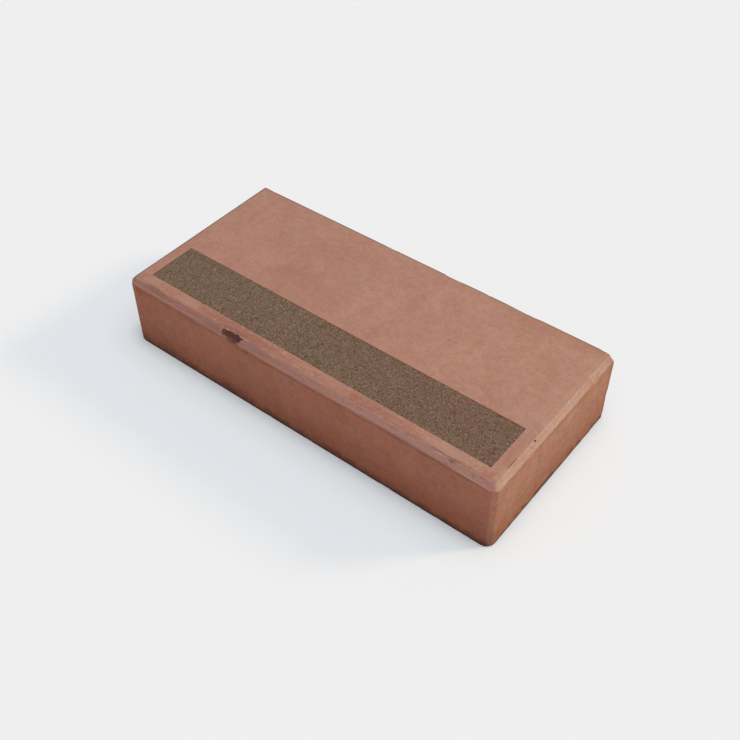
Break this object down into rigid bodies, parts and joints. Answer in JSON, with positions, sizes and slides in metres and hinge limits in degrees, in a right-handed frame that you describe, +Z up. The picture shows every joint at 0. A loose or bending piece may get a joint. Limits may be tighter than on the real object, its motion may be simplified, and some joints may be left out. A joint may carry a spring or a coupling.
{
  "type": "concrete block step",
  "caption": "Solid cast concrete block step with chamfered front and end arrises, and an anti-slip grip strip let flush into the tread behind the riser.",
  "frame": {"origin": "on the ground, under the middle of the step", "axes": "+X along the riser to the right as seen from in front, +Y from the riser to the back face, +Z up through the tread"},
  "size_m": [0.795, 0.36, 0.15],
  "materials": {
    "concrete": "through-coloured terracotta concrete, smooth from the mould, matt",
    "grit": "dark olive-brown bonded mineral grit, coarse, matt"
  },
  "bodies": {
    "root": {"step_block": "concrete", "grip_strip": "grit"}
  },
  "joints": []
}
